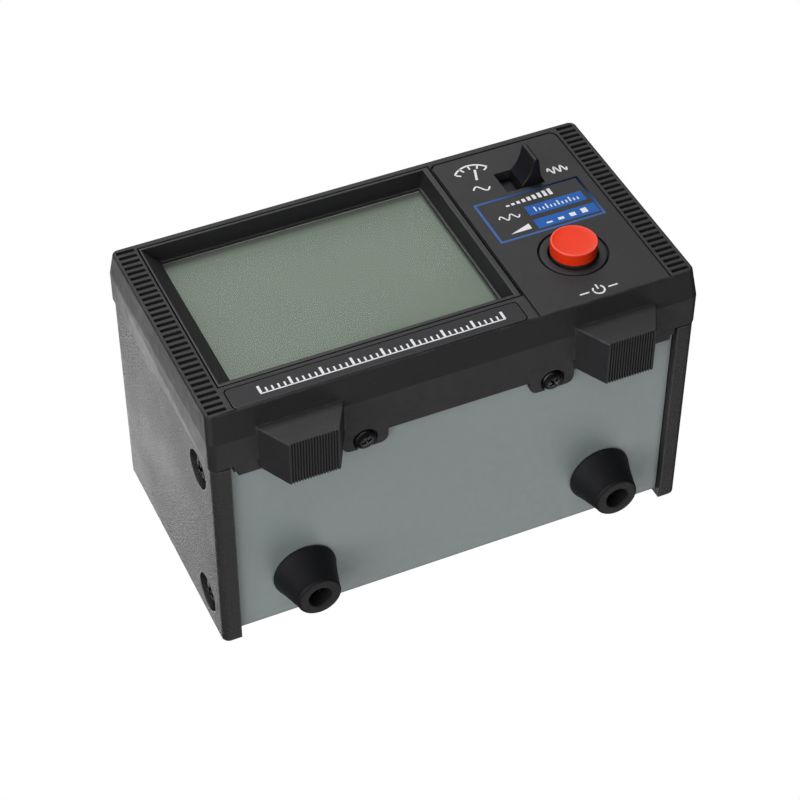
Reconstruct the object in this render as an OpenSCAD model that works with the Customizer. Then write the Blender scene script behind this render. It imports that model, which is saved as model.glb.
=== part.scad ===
// Desktop SWR and power meter for amateur radio: moulded front bezel with an
// inset display, push button and slide switch, a textured cover, a folded grey
// chassis on four feet, four coaxial sockets at the back and two couplers inside.
// Origin: middle of the outer box, on the plane that the four feet stand on.
// +X to the meter's right, +Y to the back, +Z up. All sizes in millimetres.

/* [Case] */
// Width of the cover
case_w = 120; // [119:0.5:121]
// Height of the cover
case_h = 64; // [63.5:0.1:64.5]
// Depth from the face to the cover's rear edge
case_d = 71.4; // [71:0.1:72]
// Width of the cover's bottom rails
rail_t = 4.6; // [4.4:0.1:4.8]
// Wall of the cover above the rails
cover_t = 2.4; // [2.0:0.1:2.6]
// Outer corner radius of the cover
corner_r = 1.8; // [1.2:0.1:2.2]
// Width of the joint line between bezel and cover
joint_gap = 0.3; // [0.2:0.05:0.5]

/* [Bezel] */
// Depth of the front bezel
bezel_d = 14.5; // [14.2:0.1:14.6]
// Depth of the bezel's slanted front band
band_d = 6.7; // [6:0.1:7.2]
// Thickness of the bezel's front wall
bezel_t = 2.4; // [2.2:0.1:2.6]
// How far the rear lip reaches under the chassis
lip_d = 17.8; // [17.4:0.1:18]
// Number of grooves in each rib strip
rib_n = 31; // [24:1:34]
// Width of one rib groove
rib_w = 0.95; // [0.6:0.05:1.1]

/* [Display] */
// Width of the opening in the display frame
view_w = 65.8; // [64:0.1:66.5]
// Height of the opening in the display frame
view_h = 46.6; // [45:0.1:47]
// Depth of the display frame
frame_d = 4.5; // [4.2:0.1:4.7]

/* [Controls] */
// Radius of the push button
btn_r = 5.5; // [5:0.1:5.6]
// How far the button stands out of the face
btn_out = 4.05; // [3.5:0.05:5]
// Travel of the push button
btn_travel = 2.5; // [1:0.1:2.6]
// How far the slide lever stands out of the face
lever_out = 7; // [6:0.1:7.5]
// Travel of the slide lever
lever_travel = 3.8; // [3:0.1:3.8]

/* [Feet] */
// Drop from the underside of the case to the foot plane
foot_h = 7.8; // [7:0.1:8.5]
// Base radius of a rubber foot
rubber_r = 7.9; // [7.5:0.1:8.6]
// Tip radius of a rubber foot
rubber_tip_r = 5.5; // [5:0.1:6]

/* [Sockets] */
// Distance between neighbouring coaxial sockets
sock_pitch = 27; // [26.8:0.1:27.4]
// Outer radius of the socket thread (5/8 inch)
sock_r = 7.94; // [7.9:0.01:7.98]
// How far the sockets stand out of the rear panel
sock_out = 15.3; // [14.5:0.1:16]

/* [Hidden] */
$fn = 48;

floor_z = 1.7;                 // outer face of the chassis floor
sheet = 1.2;                   // chassis sheet
rear_y = 70.2;                 // outer face of the rear panel
y_mid = (rear_y + sock_out - lever_out) / 2;
flange_x = case_w / 2 - rail_t - 0.2;      // outer face of the chassis sides
face_w = 59.7; face_z0 = 2.1; face_z1 = 62.9;
band_w = 60.3; band_z1 = 64.8;
// display frame, nameplate and control field on the face
fr_x0 = -53.6; fr_x1 = 19.7; fr_z0 = 10.5; fr_z1 = 61.1;
op_x0 = -49.2; op_x1 = op_x0 + view_w; op_z0 = 12.2; op_z1 = op_z0 + view_h;
np_x0 = -53; np_x1 = 17.5; np_z0 = 2.6; np_z1 = 8.9;
pc_x0 = 20.1; pc_x1 = 53.75; pc_z1 = 61.2;
btn_x = 37.15; btn_z = 18.8;
sl_x0 = 33; sl_x1 = 43; sl_z0 = 44.6; sl_z1 = 52;
lev_x = 41; lev_z = 48.6; lev_w = 8;
foot_x = 38.8; rub_x = 38.6; rub_y = 56.8;
board_y = 12.2; board_t = 1.6;
sock_z = 34; sock_xs = [for (i = [-1.5, -0.5, 0.5, 1.5]) i * sock_pitch];
dc_x = 0; dc_z = 11;
cs_ys = [22, 63]; cs_z = 9.7;
boss = [[-50, 5.6], [-55.7, 57], [22.6, 7.4], [22.6, 57.4], [53.6, 7.4], [53.6, 57.4]];

module at() { translate([0, -y_mid, foot_h]) children(); }
// box from its low and high corners
module bx(a, b) { translate(a) cube([b[0] - a[0], b[1] - a[1], b[2] - a[2]]); }
// cylinder along +Y from point p
module ycyl(p, r, h) { translate(p) rotate([-90, 0, 0]) cylinder(r = r, h = h); }
// cylinder along +X from point p
module xcyl(p, r, h) { translate(p) rotate([0, 90, 0]) cylinder(r = r, h = h); }
// rectangle with round corners in the XZ plane, thickness along +Y
module rplate(x0, z0, x1, z1, r, y0, t) {
  translate([0, y0 + t, 0]) rotate([90, 0, 0]) linear_extrude(t) union() {
    translate([x0 + r, z0]) square([x1 - x0 - 2 * r, z1 - z0]);
    translate([x0, z0 + r]) square([x1 - x0, z1 - z0 - 2 * r]);
    for (x = [x0 + r, x1 - r], z = [z0 + r, z1 - r]) translate([x, z]) circle(r);
  }
}
// profile given in the YZ plane, extruded along +X from x0 by w
module yz(x0, w, pts) { translate([x0, 0, 0]) rotate([90, 0, 90]) linear_extrude(w) polygon(pts); }
// profile given in the XY plane, extruded along +Z from z0 by h
module xy(z0, h, pts) { translate([0, 0, z0]) linear_extrude(h) polygon(pts); }
// pan head screw pointing along +Y, head at y < 0
module pan_screw(r, l, hr, hh) {
  rotate([-90, 0, 0]) difference() {
    union() {
      cylinder(r = r, h = l);
      translate([0, 0, -hh]) cylinder(r = hr, h = hh);
    }
    for (a = [0, 90]) rotate([0, 0, a])
      translate([-hr * 0.62, -hr * 0.13, -hh - 1]) cube([hr * 1.24, hr * 0.26, 1 + hh * 0.6]);
  }
}

// ---------------------------------------------------------------- front
module bezel_skin() {
  hull() {
    rplate(-face_w, face_z0, face_w, face_z1, 1.7, 0, 0.1);
    rplate(-band_w, 0, band_w, band_z1, 1.9, band_d, 0.1);
  }
  rplate(-band_w, 0, band_w, band_z1, 1.9, band_d, bezel_d - band_d);
}
module front_foot(s) {
  w0 = 10.2; w1 = 6.05;
  difference() {
    translate([s * foot_x, 17, 0]) rotate([90, 0, 0]) linear_extrude(12)
      polygon([[-w0, 1.4], [-w0, 0], [-w1, -foot_h], [w1, -foot_h], [w0, 0], [w0, 1.4]]);
    // fine grip grooves along the foot
    for (i = [-8 : 8]) translate([s * foot_x + i * 0.66 - 0.16, 4, -foot_h - 1]) cube([0.32, 14, 1.35]);
  }
}
module screw_tab(s) {
  // rounded ear beside the foot, with a recess for the screw head
  difference() {
    translate([0, 0, 0.2]) linear_extrude(1.4) union() {
      translate([s * 23.3 - 3.6, 15]) square([7.2, 6.5]);
      translate([s * 23.3 - 5.6, 15]) square([11.2, 4.5]);
      for (a = [-3.6, 3.6]) translate([s * 23.3 + a, 19.5]) circle(2);
    }
    translate([s * 23.4, 19, -1]) cylinder(r = 1.65, h = 4);
    translate([s * 23.4, 19, -1]) cylinder(r = 3, h = 1.85);
  }
}
module front_bezel() {
  color([0.10, 0.10, 0.11]) at() difference() {
    union() {
      difference() {
        bezel_skin();
        // hollow behind the front wall, 1.6 thick at the bottom
        bx([-57.9, bezel_t, 1.6], [57.9, bezel_d + 1, 62.4]);
      }
      // rear lip under the chassis floor
      bx([-54.8, bezel_d - 1, 0.2], [54.8, lip_d, 1.6]);
      for (s = [-1, 1]) { front_foot(s); screw_tab(s); }
      // stem bosses for the main board
      for (p = boss) ycyl([p[0], bezel_t - 0.5, p[1]], 1.9, board_y - bezel_t + 0.5);
      // locating tongue inside the cover's top
      bx([-50, bezel_t, 60.4], [50, bezel_d + 2.5, 61.4]);
      bx([-50, bezel_t, 60.9], [50, bezel_d - 1, 62.6]);
    }
    // seat of the display frame
    bx([fr_x0 - 0.3, -1, fr_z0 - 0.3], [fr_x1 + 0.3, frame_d + 0.2, fr_z1 + 0.3]);
    // seat of the nameplate
    rplate(np_x0 - 0.25, np_z0 - 0.25, np_x1 + 0.25, np_z1 + 0.25, 1.2, -1, 1.6);
    // rib strips
    for (i = [0 : rib_n - 1], s = [-1, 1])
      translate([min(s * 54.5, s * 58.8), -1, 3.2 + i * (58.6 - rib_w) / (rib_n - 1)]) cube([4.3, 1.5, rib_w]);
    // shadow line round the control field
    difference() {
      rplate(pc_x0, -8, pc_x1, pc_z1, 2, -1, 1.5);
      rplate(pc_x0 + 0.4, -9, pc_x1 - 0.4, pc_z1 - 0.4, 1.6, -2, 4);
    }
    // openings for the collar, the button's skirt and the slide lever
    ycyl([btn_x, -1, btn_z], 8.3, 1 + 1.2);
    ycyl([btn_x, -1, btn_z], 7.2, 6);
    bx([sl_x0, -1, sl_z0], [sl_x1, bezel_t + 1, sl_z1]);
    // room for the screw heads where the tabs meet the lip
    for (s = [-1, 1]) {
      translate([s * 23.4, 19, -1]) cylinder(r = 3, h = 1.85);
      translate([s * 23.4, 19, -1]) cylinder(r = 1.65, h = 4);
    }
    // screw holes in the bosses
    for (p = boss) ycyl([p[0], 5, p[1]], 1.0, 12);
    // small notches where the lip meets the rails
    for (s = [-1, 1]) bx([s * 54.6 - 0.8, lip_d - 1.4, -1], [s * 54.6 + 0.8, lip_d + 1, 2]);
  }
}
module display_frame() {
  color([0.09, 0.09, 0.10]) at() difference() {
    union() {
      bx([fr_x0, 0, fr_z0], [fr_x1, frame_d, fr_z1]);
      // flange behind the bezel wall
      bx([fr_x0, bezel_t + 0.05, fr_z0 - 1.2], [fr_x1, frame_d, fr_z0 + 1]);
      bx([fr_x1 - 1, bezel_t + 0.05, 20], [fr_x1 + 1.2, frame_d, 50]);
    }
    // bevelled well: wide at the face, the view opening at its bottom
    intersection() {
      xy(0, 80, [[-53.1, 0], [-53.1, -1], [18.3, -1], [18.3, 0], [op_x1 + 0.6, frame_d - 0.7], [op_x0, frame_d - 0.7]]);
      yz(-70, 140, [[-1, op_z0 - 0.9], [0, op_z0 - 0.9], [0.7, op_z0], [frame_d - 0.7, op_z0], [frame_d - 0.7, 59.9], [0, 60.4], [-1, 60.4]]);
    }
    bx([op_x0, -1, op_z0], [op_x1, frame_d + 1, op_z1]);
  }
}
module display_window() {
  color([0.75, 0.8, 0.78, 0.35]) at() bx([-51.5, frame_d + 0.05, 10.6], [18.4, frame_d + 1.05, 59.9]);
}
module nameplate() {
  color([0.13, 0.13, 0.14]) at() rplate(np_x0, np_z0, np_x1, np_z1, 1, -0.05, 0.6);
}
module lcd_panel() {
  color([0.48, 0.53, 0.46]) at() {
    bx([-51, 5.7, 11], [18, 6.8, 59.8]);
    bx([-51, 6.8, 13.4], [18, 7.9, 57.6]);
  }
}
module lcd_holder() {
  color([0.85, 0.85, 0.82]) at() difference() {
    bx([-52.2, 5.6, 9.9], [19.2, board_y - 0.05, 60.2]);
    bx([-51.1, 5, 10.9], [18.1, 8.0, 59.9]);
    // slots for the contact strips
    bx([-49, 7, 11.2], [16, 20, 13.2]);
    bx([-49, 7, 57.8], [16, 20, 59.6]);
    // weight-saving pocket behind the light guide
    bx([-46, 10.4, 16], [13, 20, 55]);
  }
}
module lcd_contact_strips() {
  color([0.9, 0.5, 0.6]) at() {
    bx([-48, 6.8, 11.5], [15, board_y, 13]);
    bx([-48, 6.8, 58], [15, board_y, 59.4]);
  }
}
module main_board() {
  color([0.10, 0.35, 0.18]) at() difference() {
    bx([-57.6, board_y, 3.2], [57.2, board_y + board_t, 60]);
    for (p = boss) ycyl([p[0], 0, p[1]], 1.3, 30);
    ycyl([btn_x, 0, btn_z], 1.9, 30);
  }
}
module microcontroller() {
  color([0.08, 0.08, 0.09]) at() {
    bx([-12, board_y + board_t + 0.1, 30], [0, board_y + board_t + 1.6, 42]);
    for (i = [0 : 10], s = [-1, 1]) {
      bx([-6 + s * 6.7 - 0.7, board_y + board_t, 31 + i * 0.95], [-6 + s * 6.7 + 0.7, board_y + board_t + 0.6, 31.35 + i * 0.95]);
      bx([-11 + i * 0.95, board_y + board_t, 36 + s * 6.7 - 0.7], [-10.65 + i * 0.95, board_y + board_t + 0.6, 36 + s * 6.7 + 0.7]);
    }
  }
}
module crystal() {
  color([0.75, 0.75, 0.76]) at() rplate(4, 34, 14.5, 38.5, 2.2, board_y + board_t, 3.5);
}
module voltage_regulator() {
  color([0.1, 0.1, 0.1]) at() {
    bx([30, board_y + board_t, 30], [40, board_y + board_t + 1.3, 46]);
    bx([30, board_y + board_t + 1.3, 30], [40, board_y + board_t + 4.5, 39]);
  }
}
module capacitors() {
  color([0.15, 0.2, 0.4]) at() for (p = [[22, 35, 4], [22, 25.5, 3.1], [-28, 30, 3.1]])
    ycyl([p[0], board_y + board_t, p[1]], p[2], 9);
}
module board_headers() {
  color([0.93, 0.92, 0.88]) at() for (x = [-sock_pitch, 0, sock_pitch]) difference() {
    bx([x - 7, board_y + board_t, 14], [x + 7, board_y + board_t + 6, 20]);
    bx([x - 6, board_y + board_t + 1.5, 15], [x + 6, board_y + board_t + 7, 19]);
  }
}
module board_screws() {
  color([0.7, 0.7, 0.72]) at() for (p = boss)
    translate([p[0], board_y + board_t, p[1]]) rotate([180, 0, 0]) pan_screw(1.0, 6, 1.75, 1.2);
}

// ---------------------------------------------------------------- controls
module button_collar() {
  color([0.12, 0.12, 0.13]) at() difference() {
    union() {
      ycyl([btn_x, 0, btn_z], 7.85, 1.15);
      ycyl([btn_x, 1, btn_z], 7.1, 2.2);
    }
    ycyl([btn_x, -1, btn_z], btn_r + 0.6, 10);
  }
}
module power_button() {
  // cap with a softened rim, a skirt that keeps it behind the collar, and its stem
  color([0.86, 0.16, 0.12]) at() {
    translate([btn_x, -btn_out, btn_z]) rotate([-90, 0, 0]) rotate_extrude() union() {
      translate([0, 0]) square([btn_r - 0.5, 1]);
      translate([0, 0.5]) square([btn_r, btn_out + 2.9]);
      translate([btn_r - 0.5, 0.5]) circle(0.5, $fn = 24);
    }
    ycyl([btn_x, 3.4, btn_z], 6.8, 0.9);
  }
}
module switch_plunger() {
  color([0.9, 0.9, 0.88]) at() ycyl([btn_x, 4.3, btn_z], 1.5, 5);
}
module power_switch_body() {
  color([0.15, 0.15, 0.16]) at() difference() {
    union() {
      bx([btn_x - 4.2, 7.1, btn_z - 4.2], [btn_x + 4.2, board_y, btn_z + 4.2]);
      ycyl([btn_x, board_y, btn_z], 1.8, board_t + 2);
    }
    ycyl([btn_x, 6, btn_z], 1.55, 6.1);
  }
}
module band_switch_lever() {
  // fin with one hollow flank and one nearly straight one, over a shutter plate
  w = lev_w / 2;
  color([0.06, 0.06, 0.07]) at() {
    xy(sl_z0 + 0.3, sl_z1 - sl_z0 - 0.6, [for (p = [[0, 2.7], [0, -0.6], [0.9, -1.4], [1.75, -2.8], [2.35, -4.4],
      [2.75, -lever_out + 0.5], [3.1, -lever_out], [4.0, -lever_out], [4.3, -lever_out + 0.5],
      [4.65, -4.4], [4.95, -2.8], [5.2, -1.4], [5.4, -0.6], [5.4, 2.7]]) [lev_x - w + p[0], p[1]]]);
    bx([lev_x - 8.9, 2.7, sl_z0 - 0.9], [lev_x + 8.9, 3.4, sl_z1 + 0.9]);
  }
}
module band_switch_slider() {
  color([0.88, 0.88, 0.85]) at() bx([lev_x - 1.4, 3.4, lev_z - 1.2], [lev_x + 1.4, 8, lev_z + 1.2]);
}
module band_switch_body() {
  color([0.72, 0.72, 0.70]) at() difference() {
    bx([29.5, 4.2, lev_z - 4.6], [48.7, board_y, lev_z + 4.6]);
    bx([lev_x - lever_travel - 1.8, 4, lev_z - 1.5], [lev_x + 1.8, 8.6, lev_z + 1.5]);
  }
}

// ---------------------------------------------------------------- case
module cover() {
  ci = case_w / 2; r = corner_r; y0 = bezel_d + joint_gap;
  color([0.13, 0.13, 0.13]) at() difference() {
    union() {
      translate([0, case_d, 0]) rotate([90, 0, 0]) linear_extrude(case_d - y0) difference() {
        union() {
          translate([-ci + r, 0]) square([2 * ci - 2 * r, case_h]);
          translate([-ci, r]) square([2 * ci, case_h - 2 * r]);
          for (x = [-ci + r, ci - r], z = [r, case_h - r]) translate([x, z]) circle(r);
        }
        translate([-ci + rail_t, -1]) square([2 * (ci - rail_t), case_h - rail_t + 1]);
      }
    }
    // thinner walls above the rails, leaving a rim at the rear panel
    difference() {
      bx([-ci + cover_t, y0 - 1, 17], [ci - cover_t, 66, case_h - cover_t]);
      bx([-ci + rail_t, y0 - 2, 0], [ci - rail_t, 67, case_h - rail_t]);
    }
    // counterbored screw holes through the rails
    for (y = cs_ys) {
      xcyl([-ci - 1, y, cs_z], 4.8, 3.4);
      xcyl([ci - 2.4, y, cs_z], 4.8, 3.4);
      xcyl([-ci - 1, y, cs_z], 1.7, 10);
      xcyl([ci - 9, y, cs_z], 1.7, 10);
    }
  }
}
module chassis() {
  fx = flange_x; top = case_h - rail_t - 0.25; r = 1.6;
  color([0.47, 0.50, 0.49]) at() difference() {
    union() {
      // floor and rear panel, one sheet with a round bend
      yz(-fx, 2 * fx, [[4, floor_z], [rear_y - r, floor_z], [rear_y - r, floor_z + sheet], [4, floor_z + sheet]]);
      bx([-fx, rear_y - sheet, floor_z + r], [fx, rear_y, top]);
      intersection() {
        difference() {
          xcyl([-fx, rear_y - r, floor_z + r], r, 2 * fx);
          xcyl([-fx - 1, rear_y - r, floor_z + r], r - sheet, 2 * fx + 2);
        }
        bx([-fx, rear_y - r, floor_z], [fx, rear_y, floor_z + r]);
      }
      // side flanges
      for (s = [-1, 1]) bx([s * fx - (s + 1) / 2 * sheet, 18, floor_z], [s * fx - (s - 1) / 2 * sheet, 66, 16]);
    }
    for (x = sock_xs) {
      ycyl([x, rear_y - 3, sock_z], 8.2, 6);
      for (a = [-9, 9], b = [-9, 9]) ycyl([x + a, rear_y - 3, sock_z + b], 1.65, 6);
    }
    ycyl([dc_x, rear_y - 3, dc_z], 4.05, 6);
    for (s = [-1, 1]) {
      translate([s * rub_x, rub_y, 0]) cylinder(r = 1.65, h = 6);
      translate([s * 23.4, 19, 0]) cylinder(r = 1.25, h = 6);
      for (y = cs_ys) xcyl([s * fx - 3, y, cs_z], 1.55, 6);
    }
  }
}
module bezel_screws() {
  color([0.08, 0.08, 0.08]) at() for (s = [-1, 1])
    translate([s * 23.4, 19, 0.85]) rotate([90, 0, 0]) pan_screw(1.25, 5, 2.7, 1.6);
}
module cover_screws() {
  color([0.07, 0.07, 0.07]) at() for (s = [-1, 1], y = cs_ys)
    translate([s * (case_w / 2 - 2.4), y, cs_z]) rotate([0, 0, s > 0 ? 90 : -90]) pan_screw(1.5, 7, 3.9, 1.9);
}
module rubber_feet() {
  h = foot_h + floor_z; r = rubber_r; q = rubber_tip_r;
  color([0.06, 0.06, 0.06]) at() for (s = [-1, 1]) translate([s * rub_x, rub_y, -foot_h])
    rotate_extrude() difference() {
      union() {
        polygon([[1.6, 0], [q - 0.7, 0], [q, 0.7], [r - 0.75, h - 1.9], [r, h - 1.1], [r, h], [1.6, h]]);
        translate([q - 0.7, 0.7]) circle(0.7, $fn = 24);
      }
      translate([0, -1]) square([1.6, h + 2]);
      translate([0, -1]) square([2.8, 5]);
    }
}
module rubber_foot_screws() {
  color([0.35, 0.35, 0.36]) at() for (s = [-1, 1])
    translate([s * rub_x, rub_y, -foot_h + 4]) rotate([90, 0, 0]) pan_screw(1.5, 11.5, 2.6, 1.8);
}
module rubber_foot_nuts() {
  color([0.75, 0.75, 0.76]) at() for (s = [-1, 1]) translate([s * rub_x, rub_y, floor_z + sheet])
    difference() { cylinder(r = 3.2, h = 2.4, $fn = 6); translate([0, 0, -1]) cylinder(r = 1.5, h = 5, $fn = 48); }
}

// ---------------------------------------------------------------- coaxial sockets
module socket_shells() {
  color([0.78, 0.78, 0.76]) at() for (x = sock_xs) difference() {
    union() {
      rplate(x - 12.7, sock_z - 12.7, x + 12.7, sock_z + 12.7, 1.2, rear_y, 1.6);
      ycyl([x, rear_y + 1, sock_z], 7.2, 3.6);
      ycyl([x, rear_y + 4.2, sock_z], sock_r, sock_out - 4.2);
      ycyl([x, rear_y - sheet - 2.3, sock_z], 7.6, sheet + 2.4);
    }
    ycyl([x, rear_y - 9, sock_z], 6.2, 40);
    for (a = [-9, 9], b = [-9, 9]) ycyl([x + a, rear_y - 1, sock_z + b], 1.65, 6);
    // notches for the plug's locating teeth
    for (a = [0, 90]) translate([x, rear_y + sock_out, sock_z]) rotate([0, a, 0])
      translate([-9, -1.2, -0.8]) cube([18, 2, 1.6]);
  }
}
module socket_insulators() {
  color([0.92, 0.90, 0.84]) at() for (x = sock_xs) difference() {
    union() {
      ycyl([x, rear_y - 5.4, sock_z], 6.15, 5.4 + 8.3);
      ycyl([x, rear_y + 8, sock_z], 4.2, 5.2);
    }
    ycyl([x, rear_y - 10, sock_z], 2.6, 40);
  }
}
module socket_contacts() {
  color([0.83, 0.72, 0.42]) at() for (x = sock_xs) difference() {
    ycyl([x, rear_y - 9.5, sock_z], 2.6, 9.5 + 13.4);
    ycyl([x, rear_y + 2.4, sock_z], 2.0, 20);
    ycyl([x, rear_y - 10, sock_z], 1.5, 3.5);
  }
}
module socket_screws() {
  color([0.74, 0.74, 0.75]) at() for (x = sock_xs, a = [-9, 9], b = [-9, 9])
    translate([x + a, rear_y + 1.6, sock_z + b]) rotate([0, 0, 180]) pan_screw(1.5, 7, 2.6, 1.7);
}

// ---------------------------------------------------------------- couplers
module coupler_box(xc) {
  w = 26; y0 = 44; y1 = rear_y - sheet - 0.1;
  difference() {
    bx([xc - w, y0, sock_z - 14], [xc + w, y1, sock_z + 14]);
    bx([xc - w + 1.6, y0 - 1, sock_z - 12.4], [xc + w - 1.6, y1 - 2.4, sock_z + 12.4]);
    for (s = [-0.5, 0.5]) {
      ycyl([xc + s * sock_pitch, y1 - 4, sock_z], 8.2, 8);
      for (a = [-9, 9], b = [-9, 9]) ycyl([xc + s * sock_pitch + a, y1 - 4, sock_z + b], 1.5, 8);
    }
    // lead opening in the floor of the box, tapped holes for the lid
    bx([xc - 5, 46, sock_z - 16], [xc + 5, 49, sock_z - 12]);
    for (a = [-20, 20]) {
      translate([xc + a, 47.5, sock_z + 12]) cylinder(r = 1, h = 3);
      translate([xc + a, 47.5, sock_z - 15]) cylinder(r = 1, h = 3);
    }
  }
}
module coupler_lid(xc) {
  // shallow tray over the open front of the box, with ears top and bottom
  difference() {
    bx([xc - 26.3, 42.7, sock_z - 15.1], [xc + 26.3, 50.5, sock_z + 15.1]);
    bx([xc - 28, 43.9, sock_z - 14.05], [xc + 28, 52, sock_z + 14.05]);
    bx([xc - 5, 45.4, sock_z - 17], [xc + 5, 49.6, sock_z - 12]);
    for (a = [-20, 20]) translate([xc + a, 47.5, sock_z - 20]) cylinder(r = 1.1, h = 40);
  }
}
module hf_coupler_box() { color([0.72, 0.72, 0.70]) at() coupler_box(-sock_pitch); }
module vhf_coupler_box() { color([0.72, 0.72, 0.70]) at() coupler_box(sock_pitch); }
module hf_coupler_lid() { color([0.76, 0.76, 0.74]) at() coupler_lid(-sock_pitch); }
module vhf_coupler_lid() { color([0.76, 0.76, 0.74]) at() coupler_lid(sock_pitch); }
module hf_line_rod() {
  // wire from contact to contact through the core
  color([0.85, 0.5, 0.3]) at() {
    for (s = [-0.5, 0.5]) ycyl([-sock_pitch + s * sock_pitch, 57.5, sock_z], 1.4, 6);
    xcyl([-1.5 * sock_pitch - 1.4, 57.5, sock_z], 1.4, sock_pitch + 2.8);
  }
}
module hf_toroid() {
  color([0.25, 0.27, 0.28]) at() difference() {
    xcyl([-sock_pitch - 3, 57.5, sock_z], 6.5, 6);
    xcyl([-sock_pitch - 4, 57.5, sock_z], 1.45, 8);
  }
}
module hf_detector_board() {
  color([0.12, 0.4, 0.2]) at() difference() {
    bx([-sock_pitch - 23, 50, sock_z - 12], [-sock_pitch + 23, 51.6, sock_z + 12]);
    bx([-sock_pitch - 4, 49, sock_z - 7.5], [-sock_pitch + 4, 52, sock_z + 7.5]);
  }
}
module vhf_line() {
  color([0.85, 0.5, 0.3]) at() {
    for (s = [-0.5, 0.5]) ycyl([sock_pitch + s * sock_pitch, 60, sock_z], 1.4, 3.5);
    bx([0.5 * sock_pitch - 2.5, 59.2, sock_z - 3], [1.5 * sock_pitch + 2.5, 60.2, sock_z + 3]);
  }
}
module vhf_pickup_board() {
  color([0.12, 0.4, 0.2]) at() bx([sock_pitch - 23, 56, sock_z - 12], [sock_pitch + 23, 57.6, sock_z + 12]);
}
module coupler_lid_screws() {
  color([0.74, 0.74, 0.75]) at() for (xc = [-sock_pitch, sock_pitch], a = [-20, 20]) {
    translate([xc + a, 47.5, sock_z + 15.1]) rotate([-90, 0, 0]) pan_screw(1.0, 3.5, 2, 1.2);
    translate([xc + a, 47.5, sock_z - 15.1]) rotate([90, 0, 0]) pan_screw(1.0, 3.5, 2, 1.2);
  }
}

// ---------------------------------------------------------------- DC inlet and leads
module dc_inlet() {
  color([0.08, 0.08, 0.08]) at() difference() {
    union() {
      ycyl([dc_x, rear_y, dc_z], 5.5, 1.6);
      ycyl([dc_x, rear_y - 11, dc_z], 4, 11.5);
    }
    ycyl([dc_x, rear_y - 9, dc_z], 2.85, 12);
    ycyl([dc_x, rear_y - 12, dc_z], 1.05, 5);
  }
}
module dc_inlet_pin() {
  color([0.8, 0.8, 0.78]) at() ycyl([dc_x, rear_y - 13, dc_z], 1.05, 13.6);
}
module dc_inlet_nut() {
  color([0.76, 0.76, 0.77]) at() difference() {
    translate([dc_x, rear_y - sheet - 2, dc_z]) rotate([-90, 0, 0]) cylinder(r = 6.2, h = 2, $fn = 6);
    ycyl([dc_x, rear_y - sheet - 3, dc_z], 4, 5);
  }
}
// flat lead that drops from a header at x, runs over the floor and climbs to z1 at y1
module flat_lead(x, w, z1, y1) {
  t = 1.1; y0 = board_y + board_t + 6.2;
  yz(x - w / 2, w, [[y0 - 4, 16], [y0 - 4, 16 + t], [y0 + 2 + t, 16 + t], [y0 + 2 + t, 5 + t], [y1 - t, 5 + t], [y1 - t, z1], [y1, z1], [y1, 5], [y0 + 2, 5], [y0 + 2, 16]]);
}
module hf_lead() { color([0.75, 0.75, 0.78]) at() flat_lead(-sock_pitch, 6, 24, 48); }
module vhf_lead() { color([0.75, 0.75, 0.78]) at() flat_lead(sock_pitch, 6, 24, 48); }
module dc_lead() {
  color([0.7, 0.1, 0.1]) at() {
    for (x = [-4.2, 1.2])
      yz(x, 3, [[16, 16], [16, 17.1], [23.1, 17.1], [23.1, 11.4], [59.1, 11.4], [59.1, 10.3], [22, 10.3], [22, 16]]);
  }
}

front_bezel();
display_frame();
display_window();
nameplate();
lcd_panel();
lcd_holder();
lcd_contact_strips();
main_board();
microcontroller();
crystal();
voltage_regulator();
capacitors();
board_headers();
board_screws();
button_collar();
power_button();
power_switch_body();
switch_plunger();
band_switch_lever();
band_switch_body();
band_switch_slider();
cover();
chassis();
bezel_screws();
cover_screws();
rubber_feet();
rubber_foot_screws();
rubber_foot_nuts();
socket_shells();
socket_insulators();
socket_contacts();
socket_screws();
hf_coupler_box();
hf_coupler_lid();
hf_line_rod();
hf_toroid();
hf_detector_board();
vhf_coupler_box();
vhf_coupler_lid();
vhf_line();
vhf_pickup_board();
coupler_lid_screws();
dc_inlet();
dc_inlet_pin();
dc_inlet_nut();
hf_lead();
vhf_lead();
dc_lead();
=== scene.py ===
import math
import bmesh
import bpy
from mathutils import Matrix, Vector


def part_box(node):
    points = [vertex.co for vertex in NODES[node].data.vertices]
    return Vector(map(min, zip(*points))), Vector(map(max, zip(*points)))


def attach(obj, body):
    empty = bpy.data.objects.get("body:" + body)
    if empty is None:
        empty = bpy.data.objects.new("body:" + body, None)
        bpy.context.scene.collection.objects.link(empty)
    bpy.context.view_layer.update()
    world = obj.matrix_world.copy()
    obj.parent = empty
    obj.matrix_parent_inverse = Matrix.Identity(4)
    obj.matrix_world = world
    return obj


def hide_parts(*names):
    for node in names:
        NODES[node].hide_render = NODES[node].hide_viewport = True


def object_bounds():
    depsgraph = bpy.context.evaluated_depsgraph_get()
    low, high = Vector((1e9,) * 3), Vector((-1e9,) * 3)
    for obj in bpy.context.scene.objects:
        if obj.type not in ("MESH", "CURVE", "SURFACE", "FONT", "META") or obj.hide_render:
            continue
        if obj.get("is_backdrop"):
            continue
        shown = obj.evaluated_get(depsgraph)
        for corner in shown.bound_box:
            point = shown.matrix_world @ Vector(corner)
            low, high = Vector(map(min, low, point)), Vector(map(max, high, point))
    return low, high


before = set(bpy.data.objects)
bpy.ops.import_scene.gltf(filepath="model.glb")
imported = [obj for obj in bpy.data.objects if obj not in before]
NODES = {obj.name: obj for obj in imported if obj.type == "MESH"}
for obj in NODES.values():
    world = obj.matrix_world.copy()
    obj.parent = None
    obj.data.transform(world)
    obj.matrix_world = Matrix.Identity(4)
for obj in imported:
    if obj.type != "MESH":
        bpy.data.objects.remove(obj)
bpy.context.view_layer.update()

scene = bpy.context.scene
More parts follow.
